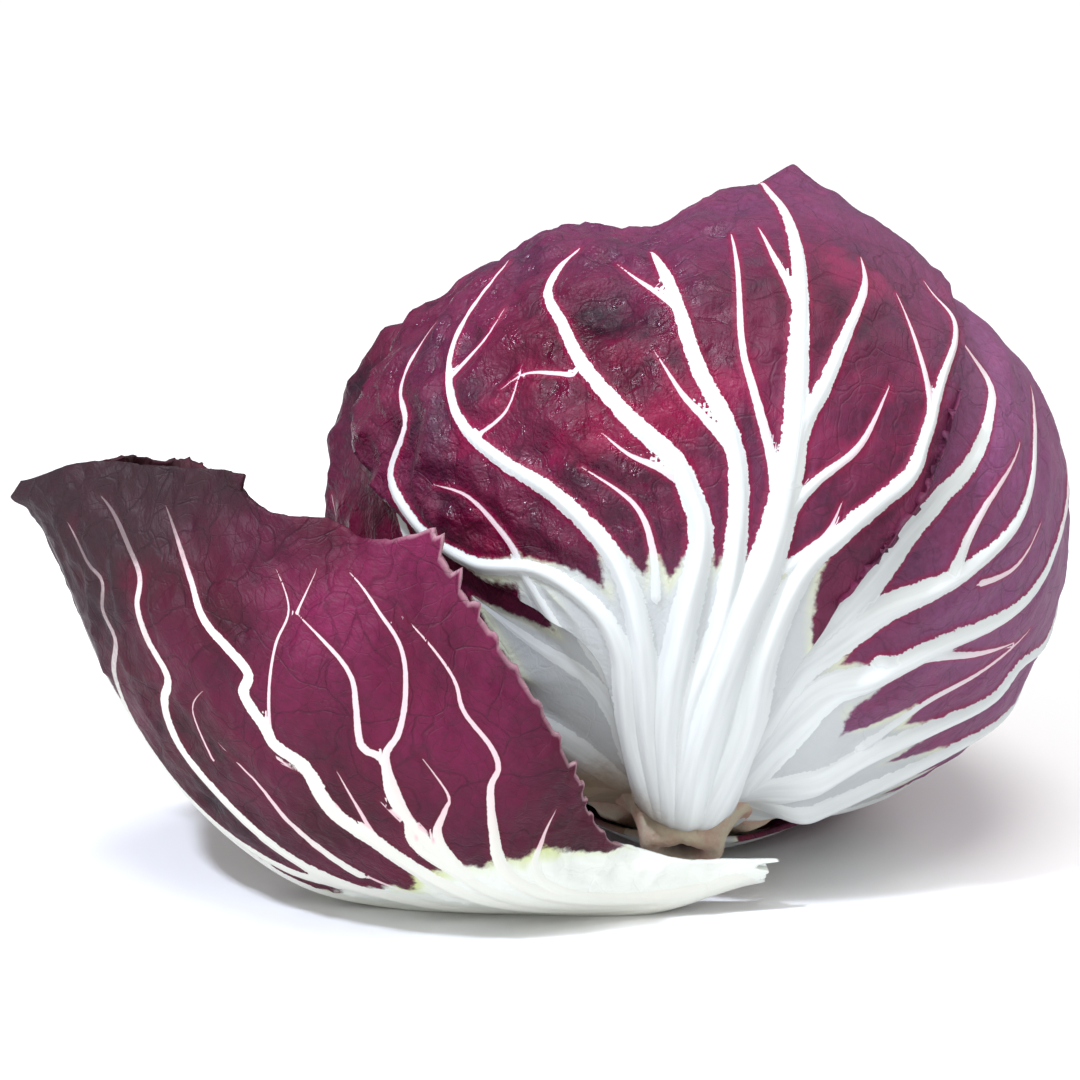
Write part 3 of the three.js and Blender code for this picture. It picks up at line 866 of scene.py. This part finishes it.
def makeWrapped(order, leaf):
    piece, across, along = gridPiece(leaf["name"] + "_skin", leaf["cells"])
    angles = leafAngles(leaf, across, along)
    directions = directionsOnLeaf(leaf["axes"], angles)
    radius = headRadius(directions)
    surface = pointsAt(directions, radius)
    ribs = ribField(surface, directions, leafRibLines(leaf))
    thickness = np.clip(ribs["rise"] / relief["widestRib"], 0, 1)

    rim = directionsOnLeaf(leaf["axes"], leaf["outline"])
    fromMargin, _ = distanceToLine(surface, pointsAt(rim, headRadius(rim)), closed=True)
    fromStem = degreesFrom(-crown, directions)
    towardsLeft = -(directions @ frontRight)
    crumpled = leaf["crumple"] * smoothStep(towardsLeft, *relief["crumpledSide"])

    lumps = noiseAt(surface, relief["puckerSize"], leaf["seed"])
    blade = bladeRelief(leaf, surface, ribs["clear"], lumps, crumpled)
    before, past = relief["paleFade"]
    down = fromStem + 2 * lumps + relief["paleTongue"] * ribs["clear"]
    pale = 1 - smoothStep(down, leaf["pale"] - before, leaf["pale"] + past)
    blade *= 1 - relief["paleSmooth"] * pale
    loose = smoothStep(fromStem, *relief["looseFrom"])
    lift = blade * loose + relief["ribRise"] * ribs["rise"] / relief["widestRib"]
    for more in marginLift(leaf, surface, directions, fromMargin, fromStem):
        lift += more
    placeCorners(piece, layOnHead(order, directions, radius, lift))

    addRibAttributes(piece, ribs)
    addAttribute(piece, "pale", pale)
    # painted shade: the blade is coloured darker where it sinks
    addAttribute(piece, "hollow", smoothStep(-blade, -0.8, 3.2) * loose)
    addAttribute(piece, "wet", leaf["wet"] * smoothStep(towardsLeft, *relief["wetSide"]))
    patches = noiseAt(surface, mauveAndSheen["patchSize"], leaf["seed"] + 3.3)
    # painted sheen: the right of the head and the band near the top are made lighter and more mauve
    sheenOnRight = mauveAndSheen["right"] * smoothStep(-towardsLeft, *mauveAndSheen["rightSheenFrom"])
    sheenOnTop = mauveAndSheen["topSheen"] * smoothStep(fromStem, *mauveAndSheen["topSheenFrom"])
    bloomAndSheen = leaf["mauveAndSheen"] * (mauveAndSheen["even"] + mauveAndSheen["patch"] * patches + sheenOnRight + sheenOnTop)
    addAttribute(piece, "mauveAndSheen", np.clip(bloomAndSheen, 0, 1))
    towards, low, high = head["stain"]
    fromStain = degreesFrom(unit(towards), directions)
    addAttribute(piece, "core", 1 - smoothStep(fromStain + 2 * lumps, low, high))
    addLeafMap(piece, angles[:, 1] * head["mmPerDegree"], angles[:, 0])
    thicken(piece, relief["thickest"], thickness * smoothStep(fromMargin, 0, 5))
    inner = leaf["name"].startswith("inner")
    piece.data.materials.append(skins["innerSkin" if inner else "wrappedSkin"])
    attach(piece, "root")
    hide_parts(leaf["name"])
    print("made", leaf["name"])


for leaf in wrappedLeaves:
    leaf["axes"] = leafAxes(leaf["azimuth"])
    leaf["outline"] = np.vstack([smoothLine(leaf["left"], 25), smoothLine(leaf["right"], 25)[::-1]])
for order, leaf in enumerate(wrappedLeaves):
    makeWrapped(order, leaf)

# The peeled leaf has stations from its torn base to its tip,
# each one from the far margin, under the midrib, to the near margin.
peeled = {
    "cells": (150, 300),
    "stations": [
        [(8, -44, 6), (8, -45, 4.5), (8, -46, 5), (8.5, -48, 7), (8, -49, 10.5)],
        [(-12, -41.5, 2), (-12, -44, 1), (-12, -47, 1), (-11, -51, 5), (-11, -53, 12.5)],
        [(-34, -30, 5), (-33, -38, 1.5), (-32, -46, 0.3), (-28, -58, 8), (-20, -60, 22)],
        [(-58, -22, 28), (-55, -29, 9), (-50, -44, 0.3), (-42, -64, 17), (-25, -66, 41)],
        [(-66, -20, 56), (-73, -21, 26), (-68, -42, 4), (-60, -67, 33), (-42, -66, 67)],
        [(-76, -5, 57), (-88, -16, 32), (-85, -39, 17), (-75, -62, 41), (-58, -61, 66.5)],
        [(-86, 2, 62), (-98, -15, 48), (-98, -35, 36), (-89, -52, 51), (-75, -54, 68)],
        [(-96, -8, 67), (-104, -20, 60), (-106, -31.5, 55), (-100, -41, 63), (-90, -43, 74)],
        [(-110, -28, 69), (-111, -29, 68), (-112, -30, 67.5), (-111, -31, 69), (-110, -31, 70.5)],
    ],
    # a rib is its half width at the base and at its tip, then its line, as (across, along)
    "ribs": [
        (4.6, 0.5, [(0, 0.03), (0.02, 0.3), (0.03, 0.5), (0, 0.65), (0.02, 0.8), (0.05, 0.93)]),
        (2.6, 0.35, [(0.05, 0.08), (0.08, 0.2), (0.16, 0.42), (0.1, 0.52), (0.02, 0.62), (0.02, 0.7),
                     (0.14, 0.75), (0.29, 0.77), (0.31, 0.8), (0.4, 0.82), (0.37, 0.85), (0.42, 0.9)]),
        (2.6, 0.35, [(0.06, 0.08), (0.1, 0.18), (0.16, 0.4), (0.18, 0.52), (0.21, 0.6), (0.24, 0.66),
                     (0.31, 0.69), (0.4, 0.7), (0.44, 0.74), (0.5, 0.77), (0.6, 0.79), (0.65, 0.83),
                     (0.73, 0.89)]),
        (3.2, 0.3, [(0.1, 0.06), (0.18, 0.16), (0.33, 0.33), (0.38, 0.42), (0.39, 0.48), (0.45, 0.52),
                    (0.46, 0.56), (0.49, 0.58), (0.54, 0.62), (0.6, 0.63), (0.65, 0.7), (0.73, 0.74),
                    (0.79, 0.77), (0.88, 0.82)]),
        (2.6, 0.2, [(0.16, 0.06), (0.28, 0.18), (0.44, 0.35), (0.5, 0.41), (0.53, 0.44), (0.59, 0.46),
                    (0.58, 0.48), (0.64, 0.5), (0.69, 0.52), (0.74, 0.57), (0.79, 0.62)]),
        (2.0, 0.18, [(0.2, 0.06), (0.3, 0.16), (0.42, 0.32), (0.45, 0.4), (0.51, 0.42), (0.55, 0.44),
                     (0.6, 0.46), (0.66, 0.46), (0.73, 0.47), (0.79, 0.49), (0.83, 0.53), (0.91, 0.59)]),
        (2.8, 0.2, [(0.26, 0.06), (0.4, 0.16), (0.55, 0.3), (0.65, 0.35), (0.73, 0.38), (0.78, 0.385),
                    (0.8, 0.4), (0.8, 0.43), (0.83, 0.45), (0.84, 0.51)]),
        (1.4, 0.2, [(0.44, 0.34), (0.52, 0.39), (0.6, 0.4), (0.64, 0.405), (0.66, 0.44)]),
        (1.8, 0.2, [(0.4, 0.12), (0.6, 0.26), (0.75, 0.29), (0.86, 0.3)]),
        (1.1, 0.15, [(0.24, 0.44), (0.29, 0.52), (0.31, 0.54), (0.34, 0.57), (0.36, 0.62)]),
        (1.1, 0.2, [(0.3, 0.34), (0.39, 0.43), (0.44, 0.46), (0.49, 0.49)]),
        (1.6, 0.2, [(0.3, 0.2), (0.4, 0.3), (0.46, 0.37), (0.5, 0.45)]),
        (1.2, 0.2, [(0.14, 0.2), (0.2, 0.34), (0.24, 0.42), (0.26, 0.5)]),
        (0.8, 0.15, [(0.46, 0.34), (0.5, 0.38), (0.53, 0.42)]),
        (0.3, 0.1, [(0.38, 0.45), (0.42, 0.49), (0.43, 0.52), (0.42, 0.56)]),
        (0.25, 0.1, [(0.3, 0.62), (0.38, 0.66), (0.46, 0.66)]),
        (0.3, 0.15, [(0.48, 0.57), (0.6, 0.6), (0.7, 0.62), (0.79, 0.63), (0.88, 0.67)]),
        (0.25, 0.12, [(0.79, 0.62), (0.85, 0.625), (0.91, 0.63)]),
    ],
    # how far along the white base ends, as (across, along)
    "paleEdge": [(0, 0.5), (0.14, 0.48), (0.25, 0.42), (0.46, 0.38), (0.61, 0.33), (0.83, 0.27),
                 (1.1, 0.2)],
    "length": 165,
    "thickness": 3.0,
    "edge": 0.72,            # where the margins begin, from the midrib, to get their teeth and tears
    "tooth": 4.6,            # from one tooth to the next
    "toothDepth": 1.7,
    "toothWidth": 0.2,
    "teethFrom": (0.19, 0.22),
    "smallTeethFrom": (0.5, 0.53),      # on the near margin
    "tear": 1.4,
    "tearFrom": (0.12, 0.25),
    "nearTearFrom": (0.72, 0.78),
    "baseTaper": 2.5,        # how much narrower the torn end is
    # how far the near margin stands out past its stations, as (along, mm)
    "nearEdge": [(0.3, 0), (0.33, -1.8), (0.36, -2.6), (0.425, -3.2), (0.475, -3.0), (0.5, -1.6),
                 (0.52, 1.4), (0.535, -0.4), (0.56, -1.2), (0.6, 0.2), (0.63, 2.4), (0.66, 4),
                 (0.72, 3.6), (0.745, 4.4), (0.768, 6), (0.774, 10), (0.8, 7.4), (0.83, 4), (0.85, 1.6),
                 (0.88, 0)],
    "hook": (-1.8, 0, -2.0),
    "ragged": 0.014,         # how uneven the torn base is, as a share of the length
}


def curveWeights(place, count):
    # the share of each station at each place, on a Catmull-Rom curve that runs straight on at its ends
    spot = np.clip(place, -0.16, 1.16) * (count - 1)
    start = np.clip(spot.astype(int), 0, count - 2)
    s = spot - start
    weights = np.zeros((len(place), count + 2))
    rows = np.arange(len(place))
    parts = (-s + 2 * s**2 - s**3, 2 - 5 * s**2 + 3 * s**3, s + 4 * s**2 - 3 * s**3, s**3 - s**2)
    for step, part in enumerate(parts):
        weights[rows, start + step] += part / 2
    weights[:, 1] += 2 * weights[:, 0]
    weights[:, 2] -= weights[:, 0]
    weights[:, -2] += 2 * weights[:, -1]
    weights[:, -3] -= weights[:, -1]
    return weights[:, 1:-1]


def peeledPoints(across, along):
    stations = np.array(peeled["stations"], float)
    alongShares = curveWeights(along, len(stations))
    acrossShares = curveWeights((across + 1) / 2, stations.shape[1])
    points = np.einsum("na,nb,abk->nk", alongShares, acrossShares, stations)
    points[:, 2] = np.maximum(points[:, 2], restSpot[2])
    return points


def peeledNormals(across, along, step=0.004):
    overAcross = peeledPoints(across + step, along) - peeledPoints(across - step, along)
    overAlong = peeledPoints(across, along + step) - peeledPoints(across, along - step)
    return unit(np.cross(overAcross, overAlong))


def peeledRibLines():
    # the far half has the same side ribs, a little further along
    mirrored = [(atStem, atTip, [(-across, along + 0.01) for across, along in line])
                for atStem, atTip, line in peeled["ribs"][1:]]
    for atStem, atTip, line in peeled["ribs"] + mirrored:
        yield atStem, atTip, peeledPoints(*smoothLine(line, 10 * len(line)).T)


def peeledTeeth(across, along):
    # how far the margins stand out, with their teeth and small tears
    level = np.zeros(len(along))
    near = across > 0
    uneven = noiseAt(np.stack([along * 12, np.sign(across), level], axis=1), 1.0, 4.4)
    teeth = along * peeled["length"] / peeled["tooth"] + 0.9 * uneven
    spike = np.clip(1 - np.abs(teeth % 1.0 - 0.5) / peeled["toothWidth"], 0, 1)
    tooth = peeled["toothDepth"] * np.clip(1 + 1.2 * uneven, 0.3, 2) * spike
    nearTeeth = 1 - 0.9 * smoothStep(along, *peeled["smallTeethFrom"])
    tooth *= smoothStep(along, *peeled["teethFrom"]) * np.where(near, nearTeeth, 0.4)
    torn = peeled["tear"] * noiseAt(np.stack([along * 14, np.sign(across), level], axis=1), 1.0, 8.8)
    nearTears = 0.25 + 0.6 * smoothStep(along, *peeled["nearTearFrom"])
    torn *= np.where(near, nearTears, 1.0) * smoothStep(along, *peeled["tearFrom"])
    torn += np.where(near, np.interp(along, *zip(*peeled["nearEdge"])), 0)
    torn -= peeled["baseTaper"] * (1 - smoothStep(along, 0.02, 0.1))
    return tooth + torn


def makePeeled():
    piece, across, along = gridPiece("peeled_leaf_skin", peeled["cells"])
    level = np.zeros(len(along))
    width = 30 + 110 * np.sin(np.pi * np.clip(along, 0.05, 0.95)) ** 1.2
    grow = peeledTeeth(across, along) * 2 / width * smoothStep(np.abs(across), peeled["edge"], 1.0)
    spread = across * (1 + grow * (1 - smoothStep(along, 0.93, 0.98)))
    atBase = 1 - smoothStep(along, 0, 0.06)
    jags = noiseAt(np.stack([across * 7, level, level], axis=1), 1.0, 2.2)
    jags += 1.6 * smoothStep(across, 0.8, 1.0)
    along = along - peeled["ragged"] * jags * atBase
    surface = peeledPoints(spread, along)
    outward = peeledNormals(spread, along)
    ribs = ribField(surface, outward, peeledRibLines())

    lumps = noiseAt(surface, 15.0, 41.0)
    ripples = noiseAt(surface, 5.5, 43.0)
    ridges = foldsAt(surface * (1, 1, 0.45), 6.0, 45.0)     # these run up and down
    fineRidges = foldsAt(surface, 3.4, 49.0)
    clear = ribs["clear"]
    fromMargin = (1 - np.abs(across)) * width / 2
    nearTip = smoothStep(along, 0.62, 0.88)
    blade = 0.9 * lumps * smoothStep(clear, 0, 5) + 0.4 * ripples * smoothStep(clear, 0, 2)
    blade += (1.0 + 1.8 * nearTip) * ridges * smoothStep(clear, 0, 3)
    blade += 0.7 * fineRidges * smoothStep(clear, 0, 1.5)
    lift = blade + 1.5 * ribs["rise"] / relief["widestRib"]
    lift += 1.4 * noiseAt(surface, 9.0, 47.0) * (1 - smoothStep(fromMargin, 0, 8))
    inner = smoothStep(along, 0.0, 0.12) * (1 - smoothStep(along, 0.95, 1.0))
    placed = surface + outward * (lift * inner)[:, None]
    placed += smoothStep(along, 0.94, 1.0)[:, None] ** 2 * np.array(peeled["hook"])
    placed[:, 2] = np.maximum(placed[:, 2], restSpot[2])
    placeCorners(piece, placed)

    pastPale = along - np.interp(np.abs(across), *zip(*peeled["paleEdge"])) + 0.012 * lumps
    highlightOnNearEdge = (1 - smoothStep(fromMargin, 0.1, 0.7)) * (across > 0)
    addRibAttributes(piece, ribs)
    addAttribute(piece, "pale", 1 - smoothStep(pastPale + 0.006 * clear, -0.06, 0.03))
    # painted highlight: the near margin's edge gets a pale pink line
    addAttribute(piece, "rim", 0.4 * highlightOnNearEdge * smoothStep(0.6 - along, 0, 0.1))
    # painted shade: the peeled blade is coloured darker where it sinks
    addAttribute(piece, "hollow", smoothStep(-blade, -0.6, 1.8))
    near = smoothStep(across, 0.3, 0.9) * smoothStep(along, 0.32, 0.44) * (1 - smoothStep(along, 0.55, 0.7))
    addAttribute(piece, "mauveAndSheen", np.clip(0.15 + 0.4 * lumps + 0.6 * near, 0, 1))
    addAttribute(piece, "core", nearTip * smoothStep(lumps + ridges, -0.9, 0.3))
    addLeafMap(piece, spread * width / 2, along * peeled["length"])
    thick = np.clip(ribs["rise"] / relief["widestRib"] + 0.5 * (pastPale < 0), 0, 1)
    thicken(piece, peeled["thickness"], thick * smoothStep(fromMargin, -1, 9))
    piece.data.materials.append(skins["peeledSkin"])
    piece.data.materials.append(skins["peeledInside"])
    piece.modifiers["wall"].material_offset = 1
    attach(piece, "root")
    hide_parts("peeled_leaf")
    print("made the peeled leaf")


makePeeled()

stem = {
    # radius, then distance from the head's middle
    "profile": [(0, 40), (14, 44), (19, 47), (17.5, 49.5), (12.5, 52.5), (9.4, 55), (7.6, 58.5), (7.2, 61.4),
                (6.4, 62.8), (5.2, 63), (3.6, 62.2), (2.6, 60), (1.6, 58.4), (0, 58)],
    "steps": 96,
    "lowerLip": 4.0,         # how much further out the flesh comes below
    # the dark colour for the middle of the cut end's recess is painted shade
    "cut": (198, 160, 140), "bark": (206, 198, 172), "hollow": (46, 16, 24), "fibre": (120, 70, 60),
}


def makeCutFlesh():
    material, tree, shader = newMaterial("cutFlesh")
    place = addPlace(tree)
    fibres = addNoise(tree, place, 700, 5, 0.7)
    stain = addRange(tree, addNoise(tree, place, 180, 4, 0.6), 0.35, 0.7)
    colour = addColourMix(tree, stain, linearColour(*stem["bark"]), linearColour(*stem["cut"]))
    colour = addColourMix(tree, addMath(tree, "MULTIPLY", fibres, 0.3), colour, linearColour(*stem["fibre"]))
    # painted shade: the recess in the cut end is coloured dark
    colour = addColourMix(tree, addRead(tree, "hollow"), colour, linearColour(*stem["hollow"]))
    tree.links.new(colour, shader.inputs["Base Color"])
    shader.inputs["Roughness"].default_value = 0.6
    addBump(tree, shader, fibres, 0.6, 0.0008)
    return material


def makeStem():
    bm = bmesh.new()
    radii, heights = smoothLine(stem["profile"], 48).T
    points = [bm.verts.new((max(radius, 0), 0, height)) for radius, height in zip(radii, heights)]
    edges = [bm.edges.new(pair) for pair in zip(points[:-1], points[1:])]
    bmesh.ops.spin(bm, geom=points + edges, cent=(0, 0, 0), axis=(0, 0, 1), angle=2 * math.pi,
                   steps=stem["steps"], use_merge=True)
    bmesh.ops.remove_doubles(bm, verts=bm.verts, dist=0.01)
    bmesh.ops.recalc_face_normals(bm, faces=bm.faces)
    piece = addPiece("stem_flesh", bm)
    corners = readCorners(piece)
    radius = np.hypot(corners[:, 0], corners[:, 1])
    rough = noiseAt(corners, 2.2, 53.0) * 0.5 + noiseAt(corners, 0.9, 55.0) * 0.2
    corners[:, :2] *= (1 + 0.1 * noiseAt(corners, 4.0, 57.0))[:, None]
    corners[:, 2] += rough * smoothStep(corners[:, 2], 56, 60)
    # the flesh under the leaf bases comes further out below, where the outermost leaf starts
    below = smoothStep(corners[:, 1] / np.maximum(radius, 1), -0.1, 0.7) * smoothStep(corners[:, 2], 42, 47)
    corners[:, 2] += stem["lowerLip"] * below * smoothStep(radius, 8.5, 15)
    # the middle of the cut end's recess, which gets the painted shade
    hollow = (1 - smoothStep(radius, 2.4, 4.2)) * smoothStep(corners[:, 2], 50, 55)
    placed = headCentre + corners[:, 0:1] * frontRight + corners[:, 1:2] * -frontUp - corners[:, 2:3] * crown
    placeCorners(piece, placed)
    piece.data.flip_normals()       # those three directions mirror the piece
    addAttribute(piece, "hollow", hollow)
    piece.data.materials.append(makeCutFlesh())
    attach(piece, "root")
    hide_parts("stem")
    print("made the cut stem")


def finishHeart():
    # the heart keeps its own mesh and gets the pale crumpled skin of the innermost leaves
    material, tree, shader = newMaterial("heartSkin")
    folds = addNoise(tree, addPlace(tree), 120, 4, 0.6)
    share = addRange(tree, folds, 0.4, 0.6)
    colour = addColourMix(tree, share, linearColour(120, 30, 62), linearColour(232, 226, 214))
    tree.links.new(colour, shader.inputs["Base Color"])
    shader.inputs["Roughness"].default_value = 0.5
    addBump(tree, shader, folds, 0.5, 0.002)
    heart = frame["nodes"]["heart"]
    heart.data.materials.clear()
    heart.data.materials.append(material)
    print("finished the heart")


makeStem()
finishHeart()

# floor, lights and camera
stage = {
    "floorHalfWidth": 6.0,
    "world": {"seen": 1.0, "diffuse": 0.52, "glossy": 0.3},
    # a sun is the way to it, its strength, its width in degrees, and whether it lights the floor too
    "suns": {
        "key": ((0.06, -0.20, 1.0), 1.6, 26, True),
        "back": ((0.9, 0.45, 0.85), 0.8, 30, True),
        "fill": ((-0.45, -0.8, 0.55), 1.15, 36, False),
    },
    "glint": {"place": (-0.30, -0.30, 0.62), "size": 0.05, "power": 4.0, "colour": (0.78, 0.84, 1.0)},
    "lens": 100.0,
    "camera": (-0.0277, -0.50288, 0.18497),
    "target": (-0.0277, -0.00157, 0.05065),
}


def makeFloor():
    bm = bmesh.new()
    bmesh.ops.create_grid(bm, x_segments=2, y_segments=2, size=stage["floorHalfWidth"])
    floor = addPiece("floor", bm)
    floor.location.z = restSpot[2] * toMetres
    material, _, shader = newMaterial("paleFloor")
    shader.inputs["Base Color"].default_value = (0.9, 0.9, 0.9, 1)
    shader.inputs["Roughness"].default_value = 0.9
    floor.data.materials.append(material)
    return floor


def pointAt(thing, target):
    aim = Vector(target) - thing.location
    thing.rotation_euler = aim.to_track_quat("-Z", "Y").to_euler()


def makeSun(name, way, strength, width, lightsFloor):
    lamp = bpy.data.lights.new(name, "SUN")
    lamp.energy = strength
    lamp.angle = math.radians(width)
    light = addObject(name, lamp)
    light.location = way
    pointAt(light, (0, 0, 0))
    if not lightsFloor:
        spared = bpy.data.collections.new(name + "_spares")
        spared.objects.link(floor)
        spared.collection_objects[0].light_linking.link_state = "EXCLUDE"
        light.light_linking.receiver_collection = spared


def makeGlint():
    glint = stage["glint"]
    lamp = bpy.data.lights.new("glint", "AREA")
    lamp.size = glint["size"]
    lamp.energy = glint["power"]
    lamp.color = glint["colour"]
    light = addObject("glint", lamp)
    light.location = glint["place"]
    pointAt(light, stage["target"])


def makeCamera():
    lens = bpy.data.cameras.new("camera")
    lens.lens = stage["lens"]
    lens.sensor_width = 36.0
    lens.clip_start = 0.01
    camera = addObject("camera", lens)
    camera.location = stage["camera"]
    pointAt(camera, stage["target"])
    bpy.context.scene.camera = camera


def makeWorld():
    # the backdrop is white to look at, and dimmer as a light
    world = bpy.data.worlds.new("studio")
    world.use_nodes = True
    tree = world.node_tree
    backdrop = tree.nodes["Background"]
    backdrop.inputs["Color"].default_value = (1, 1, 1, 1)
    rays = addNode(tree, "ShaderNodeLightPath").outputs
    strengths = stage["world"]
    dim = addNumberMix(tree, rays["Is Glossy Ray"], strengths["diffuse"], strengths["glossy"])
    both = addNumberMix(tree, rays["Is Camera Ray"], dim, strengths["seen"])
    tree.links.new(both, backdrop.inputs["Strength"])
    bpy.context.scene.world = world


floor = makeFloor()
for name, sun in stage["suns"].items():
    makeSun(name, *sun)
makeGlint()
makeWorld()
makeCamera()
bpy.context.scene.view_settings.view_transform = "Standard"
print("set the stage")
